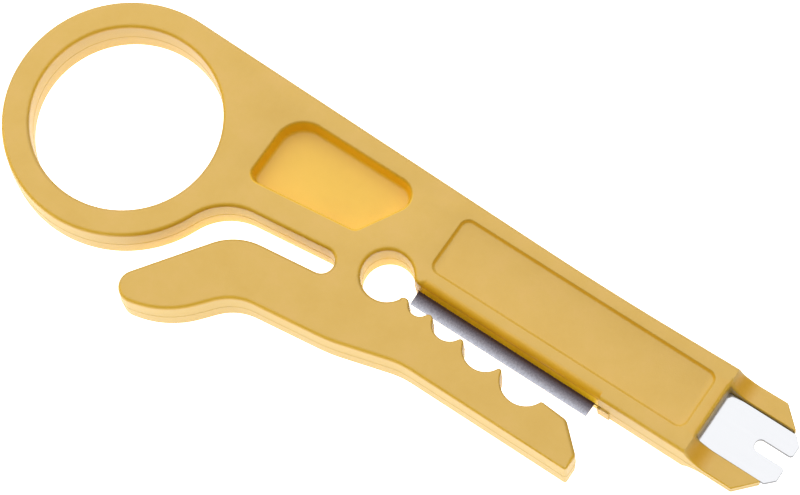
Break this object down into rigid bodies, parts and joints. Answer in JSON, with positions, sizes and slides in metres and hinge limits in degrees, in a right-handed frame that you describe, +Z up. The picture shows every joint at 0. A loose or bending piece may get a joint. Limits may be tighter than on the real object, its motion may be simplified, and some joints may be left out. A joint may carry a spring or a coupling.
{
  "type": "punch down tool",
  "caption": "Flat plastic pocket tool with a finger ring, a forked steel blade for pushing wires into insulation displacement slots, and a sprung notched jaw over a stripping blade.",
  "frame": {"origin": "middle of the underside, at the centre of the box round the whole tool", "axes": "+X from the finger ring to the forked tip, +Y from the lever to the straight back edge, +Z up through the thickness"},
  "size_m": [0.0936, 0.0306, 0.0054],
  "materials": {
    "yellow_plastic": "matt yellow moulded plastic, slightly translucent where it is thin",
    "ground_steel": "dark blued strip with a grey ground edge",
    "polished_steel": "bright polished sheet steel with grey sheared edges"
  },
  "bodies": {
    "frame": {"handle_moulding": "yellow_plastic", "living_hinge": "yellow_plastic", "stripping_blade": "ground_steel", "punch_blade": "polished_steel"},
    "lever": {"lever_with_jaw": "yellow_plastic"}
  },
  "joints": [
    {"name": "lever_flex", "type": "hinge", "parent": "frame", "child": "lever", "pos_m": [-0.00343, 0.00097, 0.0027], "axis": [0, 0, -1], "range_deg": [-1.8, 8.5], "stiffness_Nm_per_rad": 1.2, "deforming": ["living_hinge"]}
  ]
}
